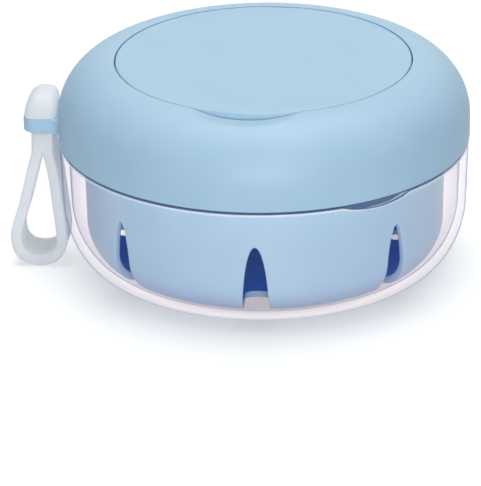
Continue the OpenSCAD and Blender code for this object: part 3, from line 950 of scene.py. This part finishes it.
def lid_section():
    """The lid's closed section, and how many of its points are on the outside."""
    inner_r = SHOULDER_R - LID_WALL
    side_top = LID_Z + LID_SIDE
    shoulder = arc(ARC_R, side_top, SHOULDER_R, 0, SHOULDER_END_DEG, SHOULDER_STEPS)
    outside = [(LID_R, LID_Z, 0.35), *shoulder, (RECESS_R, TOP_Z, 0.12), (RECESS_R, LEDGE_Z)]
    outer = rounded([(LID_R - 1, LID_Z), *outside, (TRAY_R, LEDGE_Z)])[1:-1]

    def at(r):
        return math.degrees(math.acos((r - ARC_R) / inner_r))

    wall_r = RECESS_R + TRAY_WALL
    tray = [(TRAY_R, LEDGE_Z, 0.2), (TRAY_R, TRAY_Z, 0.5), (0, TRAY_Z)]
    tray += [(0, TRAY_Z - TRAY_WALL), (TRAY_R + TRAY_WALL, TRAY_Z - TRAY_WALL, 0.5)]
    tray += [(TRAY_R + TRAY_WALL, LEDGE_Z - TRAY_WALL), (wall_r, LEDGE_Z - TRAY_WALL, 0.3)]
    skirt_in = SKIRT_R - SKIRT_T
    roof = arc(ARC_R, side_top, inner_r, at(wall_r), at(skirt_in), ROOF_STEPS)
    skirt_low = LID_Z - SKIRT_REACH
    skirt = [(skirt_in, skirt_low, 0.3), (SKIRT_R, skirt_low, 0.5)]
    side = arc(ARC_R, side_top, inner_r, at(SKIRT_R), 0, SIDE_STEPS)
    rest = [*tray, *roof, *skirt, *side, (LID_R - LID_WALL, LID_Z, 0.3)]
    inner = rounded([(RECESS_R, LEDGE_Z), *rest, (LID_R, LID_Z)])[1:-1]
    return outer + inner, len(outer)


LID_SECTION, LID_OUTER = lid_section()


def in_scoop(x, y, z, i):
    """Lowers a point of the lid to the scoop's sphere, or the wall under it by its skin."""
    floor = scoop_floor(x, y)
    if floor is None:
        return x, y, z
    if i < LID_OUTER:
        return x, y, soft_least(z, floor, SCOOP_BLEND)
    return x, y, min(z, floor - SCOOP_SKIN)


lid = lathe("domed_lid", LID_SECTION, columns=400, reshape=in_scoop)
lid.data.materials.append(lid_plastic)
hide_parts("lid_shell")
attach(lid, "lid_body")
print("Lid faces:", len(lid.data.polygons))

# %% [markdown]
# Twelve ribs inside the lid press on its seal. One rib is a thin box with softened edges,
# and the repeating tree sets twelve of them round the axis.

# %% Seal ribs
RIB_COUNT, RIB_T, RIB_H, RIB_EDGE, RIB_SINK, SEAL_TOP = 12, 1.2, 5.0, 0.2, 0.4, 33.9
rib_r0, rib_r1 = SKIRT_R - RIB_SINK, LID_R - LID_WALL + RIB_SINK
rib_outline = [(rib_r0, -RIB_T / 2), (rib_r1, -RIB_T / 2), (rib_r1, RIB_T / 2), (rib_r0, RIB_T / 2)]
rib = plate("seal_ribs", rib_outline, SEAL_TOP, SEAL_TOP + RIB_H, RIB_EDGE)
ribs = resharpened(repeated(rib, RIB_COUNT, 360 / RIB_COUNT, lid_plastic))
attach(ribs, "lid_body")
print("Rib faces:", len(ribs.data.polygons))

# %% [markdown]
# The lug is a flat tongue on the lid's left side, with round corners and a hollow fillet
# where it leaves the lid. The strap's neck passes through a slot in it.

# %% Lug
LUG_L, LUG_W, LUG_CORNER, LUG_ROOT, LUG_EDGE = 8.5, 11.8, 3.0, 2.4, 0.45
# The lug's foot inside the lid's wall: its two radii, its spread, and where the fillet starts
FOOT_R0, FOOT_R1, FOOT_SPREAD, FILLET_R = 48.4, 49.2, 2.7, LID_R - 0.3
NECK_W, STRAP_T, NECK_FIT, CUT_PAST = 6.4, 2.65, 0.3, 2


def turned_to_lug(obj):
    """Turns a mesh made along +X to the lug's direction."""
    obj.data.transform(Matrix.Rotation(math.radians(LUG_ANGLE), 4, "Z"))
    return obj


def slot_outline(long, thick, middle):
    """A slot with round ends: long along y, thick along x."""
    half = (long - thick) / 2
    ends = [(half, 0), (-half, 180)]
    return [
        (middle + thick / 2 * math.cos(math.radians(turn + a)),
         y + thick / 2 * math.sin(math.radians(turn + a)))
        for y, turn in ends for a in range(0, 181, 15)
    ]  # fmt: skip


half_w, tip = LUG_W / 2, LID_R + LUG_L
front_half = [
    (FOOT_R0, half_w + FOOT_SPREAD), (FOOT_R1, half_w + FOOT_SPREAD),
    (FILLET_R, half_w, LUG_ROOT), (tip, half_w, LUG_CORNER),
]  # fmt: skip
back_half = [(x, -y, *radius) for x, y, *radius in front_half]
lug_outline = rounded([*back_half, *reversed(front_half)], steps=10)
lug = plate("strap_lug", lug_outline, LUG_Z, LUG_Z + LUG_T, LUG_EDGE)
neck_hole = slot_outline(NECK_W + 2 * NECK_FIT, STRAP_T + 2 * NECK_FIT, STRAP_R)
hole = plate("neck_hole", neck_hole, LUG_Z - CUT_PAST, LUG_Z + LUG_T + CUT_PAST, 0)
lug = resharpened(combined(lug, hole, "DIFFERENCE"))
turned_to_lug(lug)
lug.data.materials.clear()
lug.data.materials.append(lid_plastic)
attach(lug, "lid_body")
print("Lug faces:", len(lug.data.polygons))

# %% [markdown]
# ## The flip cover and its mirror
# The cover is a round plate with a fine round on its upper edge. It lies in the recess with
# a gap of 0.3 mm, which shows as one thin dark line. On its underside a low rim holds a
# round mirror on foam tape. At the back a strip moulded with the lid is its hinge.

# %% Flip cover
COVER_Z, MIRROR_R, MIRROR_T, PAD_T, MIRROR_FIT, MIRROR_RIM = 49.1, 30.0, 1.5, 0.5, 0.3, 1.2
HINGE_W, HINGE_T, HINGE_STEP = 12.0, 0.4, 0.15
HINGE_Y = math.sqrt(COVER_R**2 - (HINGE_W / 2) ** 2)
# The ring of points that keeps the pull at the hinge from reaching further into the cover
HINGE_RING_R = HINGE_Y - 0.9


def at_hinge(x, y, z, i):
    """Flattens the cover's back edge where the hinge strip joins it."""
    if y > 0 and abs(x) <= HINGE_W / 2 + HINGE_STEP:
        y = min(y, HINGE_Y - HINGE_STEP)
    return x, y, z


rim_in, rim_out = MIRROR_R + MIRROR_FIT, MIRROR_R + MIRROR_FIT + MIRROR_RIM
rim_low = COVER_Z - PAD_T - MIRROR_T / 2
cover_section = rounded([
    (0, TOP_Z), (HINGE_RING_R, TOP_Z), (COVER_R, TOP_Z, 0.4), (COVER_R, COVER_Z, 0.3),
    (HINGE_RING_R, COVER_Z), (rim_out, COVER_Z),
    (rim_out, rim_low, 0.3), (rim_in, rim_low, 0.3), (rim_in, COVER_Z), (0, COVER_Z),
])  # fmt: skip
cover = lathe("flip_cover_plate", cover_section, reshape=at_hinge)
cover.data.materials.append(lid_plastic)
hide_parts("flip_cover")
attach(cover, "cover_body")
print("Cover faces:", len(cover.data.polygons))

# %% Hinge film
# The film runs a little into the cover and the lid, and lies below their tops, so that the
# cover's outline stays whole.
FILM_SINK, FILM_DROP, FILM_INSET, FILM_STEPS = 0.3, 0.3, 0.1, 8
film_y0, film_y1 = HINGE_Y - FILM_SINK, RECESS_R + FILM_INSET
film_z0, film_z1 = TOP_Z - HINGE_T - FILM_INSET, TOP_Z - FILM_DROP
film_verts, film_faces = [], []
for k in range(FILM_STEPS + 1):
    y = film_y0 + (film_y1 - film_y0) * k / FILM_STEPS
    for x, z in ((-1, film_z0), (1, film_z0), (1, film_z1), (-1, film_z1)):
        film_verts.append((x * (HINGE_W / 2 - FILM_INSET), y, z))
    if k:
        for j in range(4):
            n = (j + 1) % 4
            film_faces.append((4 * k - 4 + j, 4 * k - 4 + n, 4 * k + n, 4 * k + j))
film_faces += [(0, 1, 2, 3), tuple(4 * FILM_STEPS + j for j in range(4))]
film = finish_mesh("hinge_film", film_verts, film_faces)
film.data.materials.append(lid_plastic)
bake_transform(film)
print("Film length in mm:", round(film_y1 - film_y0, 2))

# %% Mirror, its pad and the seal
mirror_low = COVER_Z - PAD_T - MIRROR_T
mirror_section = rounded([
    (0, COVER_Z - PAD_T), (MIRROR_R, COVER_Z - PAD_T, 0.15), (MIRROR_R, mirror_low, 0.4),
    (0, mirror_low),
])  # fmt: skip
mirror = lathe("round_mirror", mirror_section, columns=180)
mirror.data.materials.append(mirror_glass)
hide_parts("mirror")
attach(mirror, "cover_body")

PAD_INSET, PAD_SQUEEZE = 3.0, 0.1
pad_r = MIRROR_R - PAD_INSET
pad_section = rounded([
    (0, COVER_Z), (pad_r - PAD_SQUEEZE, COVER_Z), (pad_r, COVER_Z - PAD_T / 2, 0.2),
    (pad_r - PAD_SQUEEZE, COVER_Z - PAD_T), (0, COVER_Z - PAD_T),
])  # fmt: skip
pad = lathe("foam_tape_pad", pad_section, columns=120)
pad.data.materials.append(pad_foam)
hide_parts("mirror_pad")
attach(pad, "cover_body")

SEAL_OUT, SEAL_FIT = 47.7, 0.05
seal_section = rounded([
    (SKIRT_R + SEAL_FIT, FLANGE_TOP, 0.3), (SEAL_OUT, FLANGE_TOP, 0.5),
    (SEAL_OUT, SEAL_TOP, 0.5), (SKIRT_R + SEAL_FIT, SEAL_TOP, 0.3),
])  # fmt: skip
seal = lathe("lid_seal", seal_section, columns=240)
seal.data.materials.append(seal_silicone)
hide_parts("seal_ring")
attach(seal, "lid_body")
print("Mirror, pad and seal:", [len(o.data.polygons) for o in (mirror, pad, seal)])

# %% [markdown]
# ## The carrying strap
# The strap is one soft silicone band. It is folded double below the lug, its neck passes up through
# the lug, and a thick rounded head keeps it from slipping out. Below, the two layers part and hang
# as a pear-shaped loop that leans to the front and touches the table. The loop is lofted between an
# outer and an inner outline along one smooth path, so that its thickness stays even.

# %% Sizes of the strap
STRAP_W, STRAP_EDGE = 11.0, 0.55
HEAD_OUT, HEAD_IN, HEAD_L, HEAD_H, HEAD_REACH = 4.1, 4.0, 11.8, 5.8, 0.985
HEAD_OUT_ROUND, HEAD_IN_ROUND, HEAD_END_ROUND = 2.0, 4.0, 4.2
HEAD_SEAT, HEAD_ARCH_STEPS, HEAD_STEPS, STRAP_SHARP_DEG = 0.02, 32, 20, 60
STRAP_SHEAR = math.tan(math.radians(10.7))
NECK_BOTTOM, NECK_SINK = LUG_Z - 0.1, 1
# Where the band is closed over the fold: how far its fork lies above the layers' ends, and
# shares of the way up to the neck's foot and across it
FORK_RISE, FOLD_UP, FOLD_ACROSS = 0.2, (0.25, 0.6, 1.0), (0.3, 0.7)
BAND_STEPS, EDGE_SHARE_MOST = 6, 0.45
# The middle of the band from the fold, down the outer leg, round and up the inner leg:
# (distance out from the neck, height above the table)
BAND_PATH = [
    (0.95, 27.9), (1.5, 25.7), (2.7, 21.0), (4.25, 14.7), (5.75, 9.8), (6.15, 7.2),
    (5.45, 4.1), (3.1, 2.05), (-0.2, 1.6), (-3.1, 2.5), (-4.75, 4.7), (-5.1, 7.6),
    (-4.7, 11.0), (-4.1, 15.0), (-3.3, 21.0), (-2.3, 25.7), (-1.7, 27.9),
]  # fmt: skip
print("Points that guide the band:", len(BAND_PATH))


# %% Loft the loop
def smooth_path(points, steps):
    """A Catmull-Rom curve through points, with steps between each two."""
    ends = [2 * Vector(points[0]) - Vector(points[1]), 2 * Vector(points[-1]) - Vector(points[-2])]
    p = [ends[0], *map(Vector, points), ends[1]]
    out = []
    for i in range(1, len(p) - 2):
        for k in range(steps):
            t = k / steps
            a, b, c, d = p[i - 1], p[i], p[i + 1], p[i + 2]
            out.append(0.5 * (2 * b + (c - a) * t + (2 * a - 5 * b + 4 * c - d) * t**2
                              + (3 * b - a - 3 * c + d) * t**3))  # fmt: skip
    return [*out, p[-2]]


def band_outlines():
    """Matching closed outlines (out, height) of the band: the outer and the inner one."""
    middle = smooth_path(BAND_PATH, BAND_STEPS)
    outer, inner = [], []
    for i, m in enumerate(middle):
        along = (middle[min(i + 1, len(middle) - 1)] - middle[max(i - 1, 0)]).normalized()
        side = Vector((-along.y, along.x)) * (STRAP_T / 2)
        outer.append(m + side)
        inner.append(m - side)
    fork = (inner[0] + inner[-1]) / 2 + Vector((0, FORK_RISE))
    left, right = outer[0], outer[-1]
    rise = NECK_BOTTOM - left.y
    outer += [Vector((right.x, right.y + rise * t)) for t in FOLD_UP]
    outer += [Vector((right.x + (left.x - right.x) * t, NECK_BOTTOM)) for t in FOLD_ACROSS]
    outer += [Vector((left.x, left.y + rise * t)) for t in reversed(FOLD_UP)]
    inner += [fork] * (len(outer) - len(inner))
    return outer, inner


CORNER_ANGLES = (0, 22.5, 45, 67.5, 90)


def section_ring(edge_w, edge_t):
    """A rounded rectangle as (share of the thickness from the inner outline, width)."""
    half = STRAP_W / 2
    ring = []
    corners = [(edge_t, -half + edge_w, 180), (1 - edge_t, -half + edge_w, 270),
               (1 - edge_t, half - edge_w, 0), (edge_t, half - edge_w, 90)]  # fmt: skip
    for t, w, start in corners:
        for a in CORNER_ANGLES:
            b = math.radians(start + a)
            ring.append((t + edge_t * math.cos(b), w + edge_w * math.sin(b)))
    return ring


def strap_point(out, width, height):
    """A point of the strap: it leans to the front the lower it hangs."""
    return (STRAP_R + out, width + (NECK_BOTTOM - height) * STRAP_SHEAR, height)


def loop_mesh():
    """The loop as one closed band."""
    outer, inner = band_outlines()
    verts, faces, size = [], [], 4 * len(CORNER_ANGLES)
    for o, i in zip(outer, inner):
        thick = max((o - i).length, 1e-3)
        for t, w in section_ring(STRAP_EDGE, min(EDGE_SHARE_MOST, STRAP_EDGE / thick)):
            p = i + (o - i) * t
            verts.append(strap_point(p.x, w, p.y))
    count = len(outer)
    for a in range(count):
        b = (a + 1) % count
        for j in range(size):
            n = (j + 1) % size
            faces.append((a * size + j, a * size + n, b * size + n, b * size + j))
    return finish_mesh("carrying_strap", verts, faces, STRAP_SHARP_DEG)


strap = loop_mesh()
print("Loop faces:", len(strap.data.polygons))


# %% Neck and head, joined to the loop
def head_mesh():
    """The head: an arch seen from the front, rounder on its outer side than on the lid's,
    and drawn in towards both ends like a cushion."""
    bottom, half, steps = LUG_Z + LUG_T + HEAD_SEAT, HEAD_L / 2, HEAD_STEPS
    outline = []
    for k in range(HEAD_ARCH_STEPS + 1):
        turn = math.pi * k / HEAD_ARCH_STEPS
        c, h = math.cos(turn), math.sin(turn)
        power = 2 / (HEAD_OUT_ROUND if c > 0 else HEAD_IN_ROUND)
        x = c**power * HEAD_OUT if c > 0 else -((-c) ** power) * HEAD_IN
        outline.append((x, abs(h) ** power * HEAD_H))
    count, rings = len(outline), []
    for k in range(steps + 1):
        along = math.sin(math.pi / 2 * (2 * k / steps - 1) * HEAD_REACH)
        scale = (1 - abs(along) ** HEAD_END_ROUND) ** (1 / HEAD_END_ROUND)
        rings.append([(STRAP_R + x * scale, along * half, bottom + z * scale)
                      for x, z in outline])  # fmt: skip
    verts = [v for ring in rings for v in ring]
    faces = [tuple(range(count)), tuple(range(count * steps, count * (steps + 1)))]
    for k in range(steps):
        for i in range(count):
            n = (i + 1) % count
            faces.append((k * count + i, k * count + n, (k + 1) * count + n, (k + 1) * count + i))
    return finish_mesh("strap_head_block", verts, faces, STRAP_SHARP_DEG)


neck_z0, neck_z1 = NECK_BOTTOM - NECK_SINK, LUG_Z + LUG_T + NECK_SINK
neck = plate("neck", slot_outline(NECK_W, STRAP_T, STRAP_R), neck_z0, neck_z1, 0)
strap = combined(combined(strap, neck, "UNION"), head_mesh(), "UNION")
strap = resharpened(strap, sharp_deg=STRAP_SHARP_DEG)
turned_to_lug(strap)
strap.data.materials.clear()
strap.data.materials.append(strap_silicone)
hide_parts("strap_head", "strap_loop")
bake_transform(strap)  # fmt: skip
print("Strap faces:", len(strap.data.polygons))

# %% [markdown]
# ## Stage and light
# The picture has a pure white ground with a soft grey shadow where the case stands. The floor gives
# part of its white by its own glow, which only the camera and reflections see, and the rest by the
# light that falls on it, so that the shadow stays. Through the clear bowl the ground shows a
# painted, even white glow, apart from a painted shadow under the basket. A white wall behind the
# case lights it from there, with little, bluish light from elsewhere, one soft box above and one
# low in front.

# %% Floor
FLOOR_R, FLOOR_STEPS, FLOOR_GLOW = 3.0, 64, 0.43
FLOOR_COLOUR, FLOOR_BOUNCE = (0.82, 0.79, 0.75, 1), (0.54, 0.6, 0.65, 1)
# How the floor shows through the bowl: the share that is a painted, even glow, and how that glow
# grows from a painted shadow under the basket to white outside the bowl
BEHIND_SHARE, BEHIND_R0, BEHIND_R1, BEHIND_PAINTED_SHADOW, BEHIND_PAINTED_GLOW = 0.75, 33.0, 38.0, 0.3, 1.15


def seen_ray(tree, other):
    """1 for a ray of the camera, also behind clear plastic, or for the other kind of ray."""
    path = add(tree, "ShaderNodeLightPath")
    return add(
        tree, "ShaderNodeMath", operation="MAXIMUM",
        links={0: path.outputs["Is Camera Ray"], 1: path.outputs[other]},
    )  # fmt: skip


def white_floor():
    """A large white floor that keeps the shadow of the case."""
    turns = [2 * math.pi * k / FLOOR_STEPS for k in range(FLOOR_STEPS)]
    ring = [(FLOOR_R * math.cos(a), FLOOR_R * math.sin(a), 0) for a in turns]
    mesh = bpy.data.meshes.new("floor")
    mesh.from_pydata(ring, [], [tuple(range(FLOOR_STEPS))])
    floor = bpy.data.objects.new("floor", mesh)
    bpy.context.collection.objects.link(floor)
    mat, tree, shader = new_material("matt_white_floor")
    shader.inputs["Roughness"].default_value = 1.0
    shader.inputs["Specular IOR Level"].default_value = 0.0
    shader.inputs["Emission Color"].default_value = (1, 1, 1, 1)
    seen = seen_ray(tree, "Is Glossy Ray").outputs[0]
    glow = add(tree, "ShaderNodeMath", {1: FLOOR_GLOW}, {0: seen}, operation="MULTIPLY")
    tree.links.new(glow.outputs[0], shader.inputs["Emission Strength"])
    tint = add(
        tree, "ShaderNodeMix", {MIX_A: FLOOR_BOUNCE, MIX_B: FLOOR_COLOUR}, {"Factor": seen},
        data_type="RGBA",
    )  # fmt: skip
    tree.links.new(tint.outputs[MIX_RESULT], shader.inputs["Base Color"])
    # Seen through the clear bowl, the floor is mostly a painted glow, dark as painted shadow under
    # the basket and white beyond.
    where = add(tree, "ShaderNodeTexCoord")
    out = add(tree, "ShaderNodeVectorMath", {}, {0: where.outputs["Object"]}, operation="LENGTH")
    ramp = {"From Min": BEHIND_R0 * MM, "From Max": BEHIND_R1 * MM}
    ramp |= {"To Min": BEHIND_PAINTED_SHADOW, "To Max": BEHIND_PAINTED_GLOW}
    white = add(tree, "ShaderNodeMapRange", ramp, {"Value": out.outputs["Value"]})
    even = add(
        tree, "ShaderNodeEmission", {"Color": (1, 1, 1, 1)}, {"Strength": white.outputs["Result"]}
    )
    path = add(tree, "ShaderNodeLightPath")
    behind = add(
        tree, "ShaderNodeMath", {1: 1.0}, {0: path.outputs["Transparent Depth"]},
        operation="MINIMUM",
    )  # fmt: skip
    share = add(
        tree, "ShaderNodeMath", {1: BEHIND_SHARE}, {0: behind.outputs[0]}, operation="MULTIPLY"
    )
    both = add(
        tree, "ShaderNodeMixShader", {},
        {"Fac": share.outputs[0], 1: shader.outputs[0], 2: even.outputs[0]},
    )  # fmt: skip
    mesh.materials.append(shown(mat, both))
    return floor


floor = white_floor()
print("Floor radius in m:", FLOOR_R)

# %% World and lamps
BACK_LIGHT, SIDE_LIGHT, WALL_FALLOFF = (1.28, 1.26, 1.18, 1), (0.02, 0.08, 0.15, 1), 3.0


def white_world():
    """A white wall behind the case and little, bluish light from elsewhere, seen as pure
    white where it shows behind the case."""
    world = bpy.data.worlds.new("white_room")
    bpy.context.scene.world = world
    world.use_nodes = True
    tree = world.node_tree
    tree.nodes.clear()
    where = add(tree, "ShaderNodeTexCoord")
    way = add(tree, "ShaderNodeSeparateXYZ", links={"Vector": where.outputs["Generated"]})
    back = add(tree, "ShaderNodeMath", {1: 0.0}, {0: way.outputs["Y"]}, operation="MAXIMUM")
    wall = add(
        tree, "ShaderNodeMath", {1: WALL_FALLOFF}, {0: back.outputs[0]}, operation="POWER"
    )
    light = add(
        tree, "ShaderNodeMix", {MIX_A: SIDE_LIGHT, MIX_B: BACK_LIGHT},
        {"Factor": wall.outputs[0]}, data_type="RGBA",
    )  # fmt: skip
    seen = seen_ray(tree, "Is Transmission Ray").outputs[0]
    colour = add(
        tree, "ShaderNodeMix", {MIX_B: (1, 1, 1, 1)},
        {"Factor": seen, MIX_A: light.outputs[MIX_RESULT]}, data_type="RGBA",
    ).outputs[MIX_RESULT]  # fmt: skip
    glow = add(tree, "ShaderNodeBackground", {"Strength": 1.0}, {"Color": colour})
    add(tree, "ShaderNodeOutputWorld", links={"Surface": glow.outputs[0]})


LAMP_COLOUR, LAMP_AIM = (1.0, 0.985, 0.95), (0, 0, 0.03)


def soft_lamp(name, where, aim, size, watts):
    """A square soft box that points at aim."""
    data = bpy.data.lights.new(name, "AREA")
    data.shape, data.size, data.energy = "SQUARE", size, watts
    data.color = LAMP_COLOUR
    lamp = bpy.data.objects.new(name, data)
    bpy.context.collection.objects.link(lamp)
    lamp.location = where
    lamp.rotation_mode = "QUATERNION"
    lamp.rotation_quaternion = (Vector(aim) - Vector(where)).to_track_quat("-Z", "Y")
    return lamp


white_world()
soft_lamp("top_box", where=(0.0, 0.15, 1.1), aim=LAMP_AIM, size=0.9, watts=9.8)
soft_lamp("front_box", where=(0.16, -1.2, 0.28), aim=LAMP_AIM, size=0.45, watts=8.2)
bpy.context.scene.view_settings.view_transform = "Standard"
